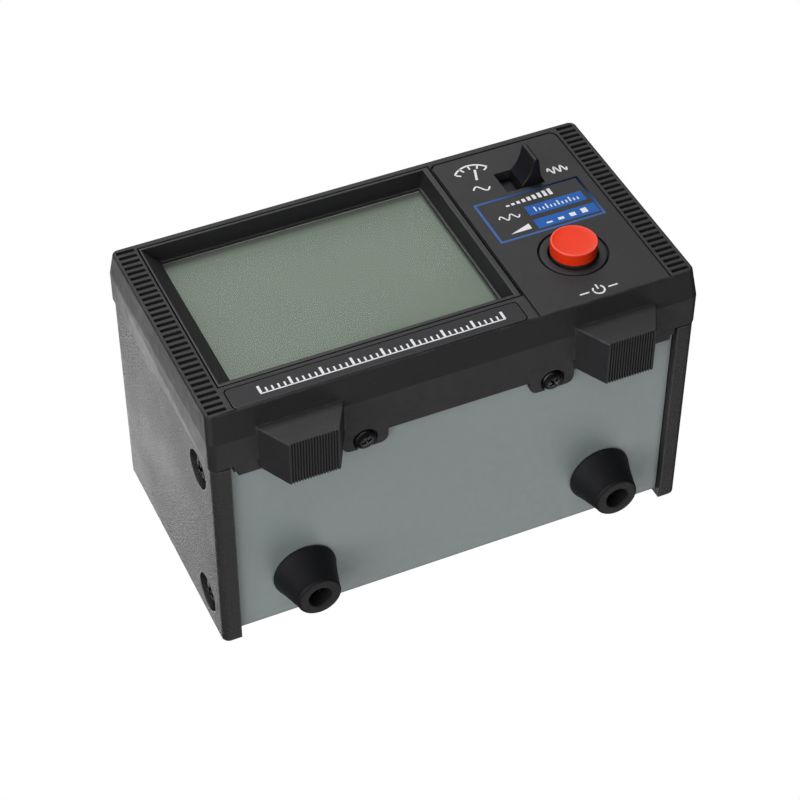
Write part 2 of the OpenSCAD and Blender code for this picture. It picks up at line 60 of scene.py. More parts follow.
# local millimetre frame: x centre, y from the face plane to the back, z from the underside of the cover
Y0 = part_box("front_bezel")[0].y
Z0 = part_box("cover")[0].z


def P(x, y, z):
    return Vector((x / 1000, y / 1000 + Y0, z / 1000 + Z0))


def mm(v):
    return (v.x * 1000, (v.y - Y0) * 1000, (v.z - Z0) * 1000)


# ------------------------------------------------------------------ materials
class Mat:
    """A Principled material with helpers for patterns in object coordinates, which are metres."""

    def __init__(self, name, rough=0.5, metallic=0.0, spec=0.5, coat=0.0, coat_rough=0.1, alpha=None, ior=1.5, sheen=0.0):
        self.m = bpy.data.materials.new(name)
        self.m.use_nodes = True
        self.t = self.m.node_tree
        self.t.nodes.clear()
        self.out = self.node("ShaderNodeOutputMaterial")
        self.b = self.node("ShaderNodeBsdfPrincipled")
        self.link(self.b.outputs[0], self.out.inputs["Surface"])
        self.co = self.node("ShaderNodeTexCoord").outputs["Object"]
        self.b.inputs["Roughness"].default_value = rough
        self.b.inputs["Metallic"].default_value = metallic
        self.b.inputs["Specular IOR Level"].default_value = spec
        self.b.inputs["IOR"].default_value = ior
        self.b.inputs["Coat Weight"].default_value = coat
        self.b.inputs["Coat Roughness"].default_value = coat_rough
        if sheen:
            self.b.inputs["Sheen Weight"].default_value = sheen
        if alpha is not None:
            self.b.inputs["Alpha"].default_value = alpha

    def node(self, kind, **kw):
        n = self.t.nodes.new(kind)
        for k, v in kw.items():
            setattr(n, k, v)
        return n

    def link(self, a, b):
        self.t.links.new(a, b)

    def stretch(self, sx, sy, sz):
        n = self.node("ShaderNodeMapping")
        n.inputs["Scale"].default_value = (sx, sy, sz)
        self.link(self.co, n.inputs["Vector"])
        return n.outputs[0]

    def noise(self, scale, detail=3, rough=0.55, vec=None):
        n = self.node("ShaderNodeTexNoise")
        n.inputs["Scale"].default_value = scale
        n.inputs["Detail"].default_value = detail
        n.inputs["Roughness"].default_value = rough
        self.link(vec or self.co, n.inputs["Vector"])
        return n.outputs[0]

    def cells(self, scale, vec=None, feature="F1"):
        n = self.node("ShaderNodeTexVoronoi", feature=feature)
        n.inputs["Scale"].default_value = scale
        self.link(vec or self.co, n.inputs["Vector"])
        return n.outputs["Distance"]

    def remap(self, value, a, b, c, d):
        n = self.node("ShaderNodeMapRange")
        for i, v in enumerate((a, b, c, d)):
            n.inputs[1 + i].default_value = v
        self.link(value, n.inputs[0])
        return n.outputs[0]

    def mix(self, factor, a, b):
        n = self.node("ShaderNodeMix", data_type="RGBA")
        self.link(factor, n.inputs[0])
        for sock, v in ((n.inputs[6], a), (n.inputs[7], b)):
            if isinstance(v, (tuple, list)):
                sock.default_value = (*v[:3], 1)
            else:
                self.link(v, sock)
        return n.outputs[2]

    def add(self, a, b, k=0.5):
        n = self.node("ShaderNodeMath", operation="MULTIPLY_ADD")
        self.link(b, n.inputs[0])
        n.inputs[1].default_value = k
        self.link(a, n.inputs[2])
        return n.outputs[0]

    def bump(self, height, strength, dist):
        n = self.node("ShaderNodeBump")
        n.inputs["Strength"].default_value = strength
        n.inputs["Distance"].default_value = dist
        self.link(height, n.inputs["Height"])
        self.link(n.outputs[0], self.b.inputs["Normal"])
        return n

    def colour(self, c):
        self.link(c, self.b.inputs["Base Color"])

    def rough(self, r):
        self.link(r, self.b.inputs["Roughness"])


def moulded(name, base, rough=0.45, var=0.10, grain=2600, depth=0.00002, strength=0.35, spec=0.5, dust=0.0, rvar=0.07, **kw):
    """Moulded plastic or rubber: fine spark-eroded grain, faint flow mottling, rubbed patches and a little dust."""
    m = Mat(name, rough=rough, spec=spec, **kw)
    fine = m.noise(grain, 3, 0.6)
    pits = m.cells(grain * 0.8)
    broad = m.noise(55, 4, 0.6)
    mid = m.noise(420, 3, 0.6)
    lo = tuple(c * (1 - var) for c in base)
    hi = tuple(c * (1 + var) for c in base)
    c = m.mix(m.remap(m.add(broad, mid, 0.6), 0.45, 1.1, 0, 1), lo, hi)
    c = m.mix(m.remap(fine, 0.35, 0.7, 0, 0.35), c, tuple(v * 1.35 + 0.002 for v in base))
    if dust:
        specks = m.cells(330)
        c = m.mix(m.remap(specks, 0.10, 0.03, 0, dust), c, (0.30, 0.30, 0.29))
    m.colour(c)
    m.rough(m.remap(m.add(mid, broad, 0.8), 0.5, 1.3, rough - rvar, rough + rvar))
    m.bump(m.add(fine, pits, 0.7), strength, depth)
    return m.m


def metal(name, base, rough=0.3, brush=None, rvar=0.1, depth=0.000008, var=0.08, spots=0.0):
    m = Mat(name, rough=rough, metallic=1.0)
    vec = m.stretch(*brush) if brush else m.co
    lines = m.noise(900, 3, 0.65, vec)
    broad = m.noise(120, 4, 0.6)
    c = m.mix(m.remap(broad, 0.35, 0.68, 0, 1), tuple(v * (1 - var) for v in base), tuple(min(1, v * (1 + var)) for v in base))
    if spots:
        c = m.mix(m.remap(m.noise(520, 5, 0.7), 0.58, 0.72, 0, spots), c, tuple(v * 0.55 for v in base))
    m.colour(c)
    m.rough(m.remap(m.add(lines, broad, 0.7), 0.5, 1.2, max(0.05, rough - rvar), rough + rvar))
    m.bump(lines, 0.35, depth)
    return m.m


def edge_of(name, base, rough, k=1.5, add=0.004, **kw):
    """The edge of a moulded or painted part: a little lighter and smoother, broken up along its length. The lighter
    colour is partly wear and partly a painted highlight along the rounded edge.
    """
    m = Mat(name, rough=rough, **kw)
    along = m.noise(260, 4, 0.65)
    fine = m.noise(2200, 2, 0.6)
    c = m.mix(m.remap(along, 0.42, 0.62, 0, 1), base, tuple(v * k + add for v in base))
    c = m.mix(m.remap(m.noise(900, 3, 0.7), 0.62, 0.75, 0, 0.5), c, tuple(v * (k + 0.8) + add * 2 for v in base))
    m.colour(c)
    m.rough(m.remap(along, 0.35, 0.7, rough + 0.08, rough - 0.06))
    m.bump(fine, 0.25, 0.00001)
    return m.m


FACE = (0.0242, 0.0242, 0.0262)
BLACK = (0.0215, 0.0215, 0.0225)
COVER = (0.026, 0.026, 0.0255)
GREY = (0.310, 0.366, 0.360)

face_black = moulded("bezel_black", FACE, rough=0.60, grain=2300, depth=0.00003, strength=0.45, dust=0.05, spec=0.33)
# the *_edge materials are lighter than their parts: wear plus a painted highlight along the rounded edges
face_edge = edge_of("bezel_black_edge", FACE, 0.48, k=1.5, spec=0.3)
# the surround's black is darker than the face plastic: painted shade for the shaded walls of the display recess
frame_black = moulded("display_frame_black", (0.0115, 0.0115, 0.0122), rough=0.55, grain=2600, depth=0.00002)
frame_edge = edge_of("display_frame_edge", (0.018, 0.018, 0.019), 0.38)
plate_black = moulded("name_strip_black", (0.0275, 0.0275, 0.0300), rough=0.56, grain=1700, depth=0.000015, strength=0.3, spec=0.20)
plate_edge = edge_of("name_strip_edge", (0.020, 0.020, 0.021), 0.4)
lever_black = moulded("lever_black", (0.0072, 0.0072, 0.0100), rough=0.46, grain=3000, depth=0.00001, spec=0.35)
collar_black = moulded("collar_black", (0.0290, 0.0290, 0.0310), rough=0.52, spec=0.22, grain=2600, depth=0.00002)


def cover_material():
    m = Mat("cover_texture_paint", rough=0.5, spec=0.5)
    grains = m.cells(2100)
    fine = m.noise(2500, 4, 0.7)
    broad = m.noise(38, 4, 0.6)
    mid = m.noise(300, 4, 0.6)
    c = m.mix(m.remap(m.add(broad, mid, 0.5), 0.5, 1.0, 0, 1), tuple(v * 0.86 for v in COVER), tuple(v * 1.12 for v in COVER))
    c = m.mix(m.remap(grains, 0.30, 0.05, 0, 0.75), c, tuple(v * 3.4 + 0.012 for v in COVER))
    c = m.mix(m.remap(m.noise(1300, 4, 0.75), 0.63, 0.74, 0, 0.35), c, (0.16, 0.16, 0.155))
    m.colour(c)
    m.rough(m.remap(m.add(fine, broad, 0.8), 0.5, 1.25, 0.42, 0.64))
    m.bump(m.add(fine, grains, -0.6), 1.0, 0.00019)
    return m.m


def paint_material():
    m = Mat("chassis_grey_paint", rough=0.42, spec=0.5)
    fine = m.noise(1500, 3, 0.6)
    orange = m.noise(650, 2, 0.5)
    broad = m.noise(28, 5, 0.6)
    c = m.mix(m.remap(broad, 0.36, 0.66, 0, 1), tuple(v * 0.955 for v in GREY), tuple(v * 1.04 for v in GREY))
    c = m.mix(m.remap(m.noise(2600, 2, 0.7), 0.45, 0.75, 0, 0.10), c, (0.42, 0.44, 0.43))
    # a few faint scuffs from handling
    scuff = m.noise(240, 5, 0.7, m.stretch(0.35, 1.6, 1))
    c = m.mix(m.remap(scuff, 0.66, 0.76, 0, 0.16), c, (0.36, 0.38, 0.375))
    m.colour(c)
    m.rough(m.remap(m.add(orange, broad, 0.7), 0.5, 1.2, 0.36, 0.52))
    m.bump(m.add(orange, fine, 0.5), 0.30, 0.000022)
    return m.m


cover_paint = cover_material()
# cover_edge and grey_edge: lighter edge bands, wear plus a painted highlight along the rounded edges
cover_edge = edge_of("cover_paint_edge", (0.036, 0.036, 0.035), 0.42, k=1.5)
grey_paint = paint_material()
grey_edge = edge_of("chassis_paint_edge", tuple(v * 0.95 for v in GREY), 0.38, k=1.12, add=0.01)
rubber = moulded("foot_rubber", (0.0052, 0.0052, 0.0070), rough=0.60, var=0.16, grain=1500, depth=0.00003, strength=0.4, dust=0.06, rvar=0.08, sheen=0.03, spec=0.34)
# near-black screws: partly a blackened finish, partly painted shade so the cover's screw bores read as shaded hollows
black_steel = metal("blackened_steel_and_painted_shade", (0.006, 0.006, 0.007), rough=0.60, var=0.2, spots=0.3)
tab_steel = metal("tab_screw_black", (0.060, 0.060, 0.064), rough=0.36, var=0.25, spots=0.3)
# the foot screws are made dark: painted shade for the dark hole inside each rubber foot
foot_steel = metal("foot_screw_black", (0.020, 0.020, 0.022), rough=0.55, var=0.2, spots=0.3)
zinc = metal("zinc_plate", (0.66, 0.66, 0.64), rough=0.32, var=0.08, spots=0.25)
tin = metal("tinned_sheet", (0.62, 0.61, 0.58), rough=0.36, brush=(0.2, 1, 1), spots=0.3)
nickel = metal("nickel_plate", (0.72, 0.69, 0.63), rough=0.22, var=0.06, spots=0.25)
gold = metal("gold_flash", (0.86, 0.62, 0.28), rough=0.26, var=0.08, spots=0.2)
copper = metal("copper_wire", (0.80, 0.42, 0.27), rough=0.32, var=0.12, spots=0.3)
ptfe = moulded("ptfe_white", (0.78, 0.76, 0.70), rough=0.42, var=0.03, grain=1200, depth=0.00001, dust=0.1)
white_plastic = moulded("white_plastic", (0.70, 0.70, 0.67), rough=0.45, var=0.04, grain=1800, dust=0.05)
black_plastic = moulded("inlet_black", (0.016, 0.016, 0.018), rough=0.38, grain=2600)
elastomer = moulded("contact_elastomer", (0.55, 0.22, 0.28), rough=0.6, var=0.08)
chip_black = moulded("chip_epoxy", (0.014, 0.014, 0.015), rough=0.55, grain=3200, depth=0.000012)
sleeve = moulded("capacitor_sleeve", (0.02, 0.025, 0.09), rough=0.35, var=0.06)
ferrite = moulded("ferrite_core", (0.035, 0.034, 0.036), rough=0.6, var=0.15, grain=2200, depth=0.00004)
grey_lead = moulded("ribbon_lead_grey", (0.36, 0.36, 0.38), rough=0.45, var=0.06)
red_lead = moulded("supply_lead_red", (0.42, 0.018, 0.016), rough=0.4, var=0.08)


def board_material():
    m = Mat("solder_mask_green", rough=0.35, coat=0.3, coat_rough=0.2)
    tracks = m.node("ShaderNodeTexBrick")
    tracks.inputs["Scale"].default_value = 260
    tracks.inputs["Mortar Size"].default_value = 0.03
    tracks.inputs["Color1"].default_value = (0.012, 0.085, 0.035, 1)
    tracks.inputs["Color2"].default_value = (0.014, 0.10, 0.042, 1)
    tracks.inputs["Mortar"].default_value = (0.03, 0.16, 0.06, 1)
    m.link(m.stretch(1, 1, 1.7), tracks.inputs["Vector"])
    c = m.mix(m.remap(m.noise(500, 3), 0.3, 0.7, 0, 0.4), tracks.outputs["Color"], (0.012, 0.07, 0.03))
    m.colour(c)
    m.rough(m.remap(m.noise(160, 3), 0.3, 0.7, 0.26, 0.45))
    m.bump(m.noise(1400, 2), 0.3, 0.00002)
    return m.m


def red_material():
    m = Mat("button_red", rough=0.44, spec=0.24)
    broad = m.noise(120, 4, 0.6)
    fine = m.noise(2600, 3, 0.6)
    c = m.mix(m.remap(broad, 0.35, 0.68, 0, 1), (0.92, 0.038, 0.0050), (0.98, 0.045, 0.0070))
    # a pale bloom where fingers have rubbed the cap
    c = m.mix(m.remap(m.noise(330, 4, 0.65), 0.55, 0.75, 0, 0.25), c, (0.97, 0.052, 0.010))
    c = m.mix(m.remap(m.cells(420), 0.07, 0.02, 0, 0.35), c, (0.45, 0.03, 0.02))
    m.colour(c)
    m.rough(m.remap(m.add(broad, fine, 0.4), 0.4, 0.95, 0.34, 0.48))
    m.bump(fine, 0.3, 0.000012)
    m.b.inputs["Subsurface Weight"].default_value = 0.06
    m.b.inputs["Subsurface Radius"].default_value = (0.0012, 0.0002, 0.0001)
    m.b.inputs["Subsurface Scale"].default_value = 1.0
    return m.m


def lcd_material():
    m = Mat("lcd_glass", rough=0.42, spec=0.2)
    cells = m.noise(4200, 2, 0.6)
    broad = m.noise(22, 3, 0.5)
    c = m.mix(m.remap(broad, 0.35, 0.68, 0, 1), (0.153, 0.206, 0.153), (0.160, 0.214, 0.159))
    c = m.mix(m.remap(cells, 0.4, 0.7, 0, 0.10), c, (0.171, 0.224, 0.168))
    # faint unlit segment grid, 2.4 mm apart
    grid = m.node("ShaderNodeTexBrick")
    grid.offset = 0.0
    grid.inputs["Scale"].default_value = 210
    grid.inputs["Mortar Size"].default_value = 0.012
    grid.inputs["Color1"].default_value = (0, 0, 0, 1)
    grid.inputs["Color2"].default_value = (0, 0, 0, 1)
    grid.inputs["Mortar"].default_value = (1, 1, 1, 1)
    rot = m.node("ShaderNodeMapping")
    rot.inputs["Rotation"].default_value = (math.pi / 2, 0, 0)
    m.link(m.co, rot.inputs["Vector"])
    m.link(rot.outputs[0], grid.inputs["Vector"])
    c = m.mix(m.remap(grid.outputs["Color"], 0, 1, 0, 0.02), c, (0.12, 0.14, 0.11))
    m.colour(c)
    m.rough(m.remap(m.noise(300, 3), 0.3, 0.7, 0.38, 0.44))
    m.bump(cells, 0.05, 0.000004)
    return m.m


def window_material():
    m = Mat("window_clear", rough=0.06, spec=0.5, alpha=0.07, ior=1.49)
    c = m.mix(m.remap(m.noise(60, 3), 0.3, 0.7, 0, 1), (0.55, 0.58, 0.53), (0.62, 0.65, 0.60))
    m.colour(c)
    m.rough(m.remap(m.noise(90, 4, 0.6), 0.3, 0.75, 0.05, 0.08))
    m.bump(m.noise(2600, 2), 0.02, 0.000001)
    return m.m


def ink(name, base, rough=0.5):
    m = Mat(name, rough=rough, spec=0.2)
    c = m.mix(m.remap(m.noise(1500, 4, 0.7), 0.35, 0.7, 0, 1), tuple(v * 0.90 for v in base), tuple(min(1, v * 1.05) for v in base))
    c = m.mix(m.remap(m.noise(5200, 2, 0.7), 0.66, 0.78, 0, 0.25), c, tuple(v * 0.5 for v in base))
    m.colour(c)
    m.rough(m.remap(m.noise(800, 3), 0.3, 0.7, rough - 0.08, rough + 0.08))
    m.bump(m.noise(3000, 3), 0.3, 0.000006)
    return m.m


board_green = board_material()
red_plastic = red_material()
# the cap's rim ring is a lighter red: a painted highlight along the cap's rounded edge
red_rim = edge_of("button_red_rim", (0.95, 0.085, 0.045), 0.40, k=1.02, add=0.02)
lcd_glass = lcd_material()
window_clear = window_material()
white_ink = ink("white_ink", (0.86, 0.87, 0.89))
blue_ink = ink("blue_ink", (0.012, 0.118, 0.46))
blue_line = ink("blue_line_ink", (0.045, 0.135, 0.40))

# ------------------------------------------------------------------ mesh helpers


def piece(name, bm, mats, body, replaces=(), angle=32, weighted=False, hard=None):
    """The bmesh as a named object that rides on a body and stands for some CAD nodes."""
    bmesh.ops.remove_doubles(bm, verts=bm.verts, dist=1e-7)
    me = bpy.data.meshes.new(name)
    bm.to_mesh(me)
    bm.free()
    for m in mats:
        me.materials.append(m)
    for p in me.polygons:
        p.use_smooth = True
    me.set_sharp_from_angle(angle=math.radians(angle))
    if hard:
        for e in me.edges:
            if hard(mm(me.vertices[e.vertices[0]].co), mm(me.vertices[e.vertices[1]].co)):
                e.use_edge_sharp = True
    o = bpy.data.objects.new(name, me)
    scene.collection.objects.link(o)
    if weighted:
        w = o.modifiers.new("normals", "WEIGHTED_NORMAL")
        w.mode, w.weight, w.keep_sharp = "FACE_AREA", 100, True
    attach(o, body)
    if replaces:
        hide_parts(*replaces)
    return o


def cad_copy(node):
    bm = bmesh.new()
    bm.from_mesh(NODES[node].data)
    bmesh.ops.remove_doubles(bm, verts=bm.verts, dist=1e-6)
    bmesh.ops.dissolve_limit(bm, angle_limit=math.radians(0.7), verts=bm.verts, edges=bm.edges)
    bmesh.ops.connect_verts_concave(bm, faces=bm.faces)
    for f in bm.faces:
        f.material_index = 0
    bm.normal_update()
    return bm


def soften(bm, test, width, seg=2, sharp=30, mat=-1):
    """Rounds the sharp edges that pass the test, given their middle in local millimetres."""
    bm.normal_update()
    found = [e for e in bm.edges if len(e.link_faces) == 2 and e.calc_length() > 2e-5
             and e.calc_face_angle(0) > math.radians(sharp) and test(*mm((e.verts[0].co + e.verts[1].co) / 2))]
    if found:
        bmesh.ops.bevel(bm, geom=found, offset=width / 1000, offset_type="OFFSET", segments=seg, profile=0.5, affect="EDGES",
                        clamp_overlap=False, material=mat, loop_slide=False)
    return len(found)


def lathe(bm, prof, m4, n=64, closed=True, mat=0, shape=None):
    """Turns a profile of (radius, height) in mm about the local Z axis of m4. shape(r, h, angle) may change a point."""
    rings = []
    for r, h in prof:
        if r < 1e-6:
            rings.append([bm.verts.new(m4 @ Vector((0, 0, h / 1000)))])
            continue
        ring = []
        for i in range(n):
            a = 2 * math.pi * i / n
            rr, hh = shape(r, h, a) if shape else (r, h)
            ring.append(bm.verts.new(m4 @ Vector((rr * math.cos(a) / 1000, rr * math.sin(a) / 1000, hh / 1000))))
        rings.append(ring)
    pairs = list(zip(rings, rings[1:])) + ([(rings[-1], rings[0])] if closed else [])
    made = []
    for a, b in pairs:
        for i in range(n):
            j = (i + 1) % n
            loop = [a[i % len(a)], a[j % len(a)], b[j % len(b)], b[i % len(b)]]
            seen = []
            for v in loop:
                if v not in seen:
                    seen.append(v)
            if len(seen) >= 3:
                f = bm.faces.new(seen)
                f.material_index = mat
                made.append(f)
    bmesh.ops.recalc_face_normals(bm, faces=made)
    return made


def arc(cx, cy, r, a0, a1, n=6):
    return [(cx + r * math.cos(math.radians(a0 + (a1 - a0) * i / n)), cy + r * math.sin(math.radians(a0 + (a1 - a0) * i / n))) for i in range(n + 1)]


def axis_at(p, toward):
    """A matrix whose local Z points along toward, at local point p in mm."""
    q = Vector(toward).to_track_quat("Z", "Y")
    return Matrix.Translation(P(*p)) @ q.to_matrix().to_4x4()


def prism(bm, pts, y0, y1, mat=0, cap=True):
    """A polygon of (x, z) points in mm, from depth y0 to y1."""
    a = [bm.verts.new(P(x, y0, z)) for x, z in pts]
    b = [bm.verts.new(P(x, y1, z)) for x, z in pts]
    n = len(pts)
    made = [bm.faces.new(a), bm.faces.new(list(reversed(b)))]
    for i in range(n):
        made.append(bm.faces.new([a[i], b[i], b[(i + 1) % n], a[(i + 1) % n]]))
    for f in made:
        f.material_index = mat
    bmesh.ops.recalc_face_normals(bm, faces=made)
    return made


def slab(bm, a, b, r, seg=2):
    """A box between two local corners in mm, with its edges rounded by r."""
    v = [bm.verts.new(P(a[0] if i & 1 == 0 else b[0], a[1] if i & 2 == 0 else b[1], a[2] if i & 4 == 0 else b[2])) for i in range(8)]
    faces = [bm.faces.new([v[i] for i in q]) for q in ((0, 1, 3, 2), (4, 6, 7, 5), (0, 4, 5, 1), (2, 3, 7, 6), (0, 2, 6, 4), (1, 5, 7, 3))]
    bmesh.ops.recalc_face_normals(bm, faces=faces)
    edges = list({e for f in faces for e in f.edges})
    bmesh.ops.bevel(bm, geom=edges, offset=r / 1000, offset_type="OFFSET", segments=seg, profile=0.5, affect="EDGES", clamp_overlap=True)


def box_mm(node):
    lo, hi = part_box(node)
    return mm(lo), mm(hi)


def ribbon(bm, path, width, y0, y1, mat=0, closed=False):
    """A flat line of even width along (x, z) points, as a thin closed solid."""
    n = len(path)
    left, right = [], []
    for i in range(n):
        p = Vector(path[i])
        q0 = Vector(path[(i - 1) % n]) if closed or i > 0 else p
        q1 = Vector(path[(i + 1) % n]) if closed or i < n - 1 else p
        d0 = (p - q0).normalized() if (p - q0).length > 1e-9 else None
        d1 = (q1 - p).normalized() if (q1 - p).length > 1e-9 else None
        d = ((d0 or d1) + (d1 or d0)).normalized()
        nrm = Vector((-d.y, d.x))
        ref = d1 or d0
        k = 1.0 / max(0.4, abs(nrm.dot(Vector((-ref.y, ref.x)))))
        left.append(p + nrm * width / 2 * k)
        right.append(p - nrm * width / 2 * k)
    for i in range(n if closed else n - 1):
        j = (i + 1) % n
        prism(bm, [tuple(left[i]), tuple(left[j]), tuple(right[j]), tuple(right[i])], y0, y1, mat)


def cut(bm, cutter):
    """bm minus cutter, both closed, by an exact boolean."""
    obs = []
    for k, b in (("a", bm), ("b", cutter)):
        me = bpy.data.meshes.new("tmp_" + k)
        b.to_mesh(me)
        b.free()
        o = bpy.data.objects.new("tmp_" + k, me)
        scene.collection.objects.link(o)
        obs.append(o)
    mod = obs[0].modifiers.new("cut", "BOOLEAN")
    mod.operation, mod.solver, mod.object = "DIFFERENCE", "EXACT", obs[1]
    bpy.context.view_layer.update()
    dg = bpy.context.evaluated_depsgraph_get()
    me = bpy.data.meshes.new_from_object(obs[0].evaluated_get(dg))
    out = bmesh.new()
    out.from_mesh(me)
    for o in obs:
        old = o.data
        bpy.data.objects.remove(o)
        bpy.data.meshes.remove(old)
    bpy.data.meshes.remove(me)
    return out


def cross_cutter(m4, arm, half, depth, top):
    """A tapered cross, arm long and half wide, from height top down by depth."""
    bm = bmesh.new()

    def loop(k, w, h):
        pts = [(w, arm * k), (-w, arm * k), (-w, w), (-arm * k, w), (-arm * k, -w), (-w, -w), (-w, -arm * k), (w, -arm * k), (w, -w), (arm * k, -w), (arm * k, w), (w, w)]
        return [bm.verts.new(m4 @ Vector((x / 1000, y / 1000, h / 1000))) for x, y in pts]

    a, b = loop(1.0, half, top + 0.3), loop(0.45, half * 0.8, top - depth)
    faces = [bm.faces.new(a), bm.faces.new(list(reversed(b)))]
    for i in range(12):
        faces.append(bm.faces.new([a[i], b[i], b[(i + 1) % 12], a[(i + 1) % 12]]))
    bmesh.ops.recalc_face_normals(bm, faces=faces)
    return bm


def screw(p, toward, r, length, head_r, head_h, turn=0.0, pitch=0.5, flat=False):
    """A screw whose head top faces along toward, with a domed head, a cross recess and a helical thread. p is where the head meets the work."""
    m4 = axis_at(p, toward) @ Matrix.Rotation(turn, 4, "Z")
    bm = bmesh.new()
    e = head_h * 0.34
    prof = [(0, head_h)]
    for i in range(1, 7):
        a = math.radians(i * 9.5)
        prof.append((head_r * math.sin(a) / math.sin(math.radians(57)) * 0.80, head_h - head_h * 0.32 * (1 - math.cos(a)) / (1 - math.cos(math.radians(57)))))
    prof += [(head_r - e * 0.28, head_h * 0.56), (head_r, head_h * 0.34), (head_r, 0.12), (head_r - 0.12, 0), (r + 0.02, 0), (0, -0.02)]
    lathe(bm, prof, m4, n=40, closed=False)
    bm = cut(bm, cross_cutter(m4, head_r * 0.60, head_r * 0.125, head_h * 0.62, head_h))
    soften(bm, lambda x, y, z: True, 0.05, 1, 40)
    # threaded shank as its own closed shell
    steps = max(6, int(length / pitch * 6))

    def thread(rr, h, a):
        if rr < 1e-6 or h > -0.05 or h < -length + 0.1:
            return rr * 0.86, h
        ph = (h / pitch + a / (2 * math.pi)) % 1.0
        return rr * (1 - 0.16 * abs(2 * ph - 1)), h
    shank = [(0, 0.0)] + [(r, -length * i / steps) for i in range(steps + 1)] + [(r * 0.5, -length - 0.1), (0, -length - 0.1)]
    lathe(bm, shank, m4, n=20, closed=False, shape=thread)
    return bm


def join(into, other):
    me = bpy.data.meshes.new("tmp_join")
    other.to_mesh(me)
    other.free()
    into.from_mesh(me)
    bpy.data.meshes.remove(me)


# ------------------------------------------------------------------ front bezel
bm = cad_copy("front_bezel")
FOOT_X = 38.8


def in_ribs(x, y, z):
    return 53.9 < abs(x) < 59.2 and y < 1.2 and 2.6 < z < 62.4


def foot_groove(x, y, z):
    return z < -7.3 and 28 < abs(x) < 50


def foot_body(x, y, z):
    return -7.3 < z < 1.0 and 27 < abs(x) < 50 and 4 < y < 17.6


# the outer rim of the face: cut at three depths, then drawn in to a quarter round
RIM = 0.38
for k in (1, 2, 3):
    d = RIM * (1 - math.cos(math.radians(30 * k)))
    bmesh.ops.bisect_plane(bm, geom=list(bm.verts) + list(bm.edges) + list(bm.faces), plane_co=P(0, d, 0), plane_no=(0, 1, 0), dist=1e-7)
outer_rim = set()
for v in bm.verts:
    x, y, z = mm(v.co)
    if y < RIM + 0.02:
        cx, cz = max(-58.0, min(58.0, x)), max(3.8, min(61.2, z))
        away = math.hypot(x - cx, z - cz)
        if away > 1.6:
            t = min(1, max(0, 1 - y / RIM))
            pull = RIM * (1 - math.sqrt(max(0, 1 - t * t)))
            k = (away - pull) / away
            v.co = P(cx + (x - cx) * k, y, cz + (z - cz) * k)
            outer_rim.add(v)
# the rim faces take the lighter edge material: a painted highlight along the face's rounded rim, with some wear
for f in bm.faces:
    if all(v in outer_rim for v in f.verts):
        f.material_index = 1
for v in bm.verts:
    x, y, z = mm(v.co)
    if in_ribs(x, y, z) and 0.45 < y < 0.55 and abs(x) > 54:
        v.co = P(x, 0.78, z)
soften(bm, lambda x, y, z: in_ribs(x, y, z) and y < 0.3, 0.13, 2, 40, 1)
soften(bm, lambda x, y, z: y < 0.2 and abs(x) < 54.2 and 2.3 < z < 62.2, 0.10, 2, 40, 1)
soften(bm, lambda x, y, z: foot_body(x, y, z) and not foot_groove(x, y, z), 0.28, 3, 25, 1)
soften(bm, foot_groove, 0.045, 1, 35)
soften(bm, lambda x, y, z: 17 < y < 22 and -0.1 < z < 1.8 and abs(x) < 30, 0.12, 2, 35, 1)
soften(bm, lambda x, y, z: 14.2 < y < 18.4 and z < 1.8 and not (27 < abs(x) < 50 and z < 0.1), 0.10, 2, 40, 1)
piece("front_bezel_skin", bm, [face_black, face_edge], "case", ["front_bezel"], weighted=True,
      hard=lambda a, b: abs(a[1] - 6.75) < 0.12 and abs(b[1] - 6.75) < 0.12 and (abs(a[0]) > 57 or a[2] < 1 or a[2] > 62))

# display surround
(FX0, _, FZ0), (FX1, FD, FZ1) = box_mm("display_frame")
FX0, FX1, FZ0, FZ1 = FX0, FX1 - 1.2, FZ0 + 1.2, FZ1      # without the hidden flange
rings = [
    (FX0, FZ0, FX1, FZ1, FD, 0), (FX0, FZ0, FX1, FZ1, 0.16, 0), (FX0 + 0.05, FZ0 + 0.05, FX1 - 0.05, FZ1 - 0.05, 0.05, 1),
    (FX0 + 0.16, FZ0 + 0.16, FX1 - 0.16, FZ1 - 0.16, 0, 1), (-53.22, 11.18, 18.42, 60.52, 0, 0), (-53.12, 11.26, 18.33, 60.43, 0.04, 1),
    (-53.02, 11.34, 18.29, 60.39, 0.14, 1), (-52.35, 12.12, 18.13, 60.33, 0.72, 0), (-52.25, 12.2, 18.1, 60.31, 0.82, 0),
    (-49.30, 12.2, 17.22, 59.93, 3.70, 0), (-49.2, 12.2, 17.14, 59.85, 3.78, 0), (-49.2, 12.2, 17.05, 59.76, 3.8, 0), (-49.2, 12.2, 16.76, 58.96, 3.8, 0),
    (-49.2, 12.2, 16.66, 58.86, 3.84, 1), (-49.2, 12.2, 16.6, 58.8, 3.94, 1), (-49.2, 12.2, 16.6, 58.8, FD, 0)]
bm = bmesh.new()
loops = [[bm.verts.new(P(x, y, z)) for x, z in ((x0, z0), (x1, z0), (x1, z1), (x0, z1))] for x0, z0, x1, z1, y, _ in rings]
for k in range(len(loops)):
    a, b = loops[k], loops[(k + 1) % len(loops)]
    for i in range(4):
        f = bm.faces.new([a[i], a[(i + 1) % 4], b[(i + 1) % 4], b[i]])
        f.material_index = rings[(k + 1) % len(loops)][5]
bmesh.ops.recalc_face_normals(bm, faces=bm.faces)
piece("display_surround", bm, [frame_black, frame_edge], "case", ["display_frame"], weighted=True)

# name strip; its tick scale, where the printed line was, is drawn with the print further down
bm = cad_copy("nameplate")
soften(bm, lambda x, y, z: y < 0.1, 0.14, 3, 40, 1)
piece("name_strip", bm, [plate_black, plate_edge], "case", ["nameplate"], weighted=True)

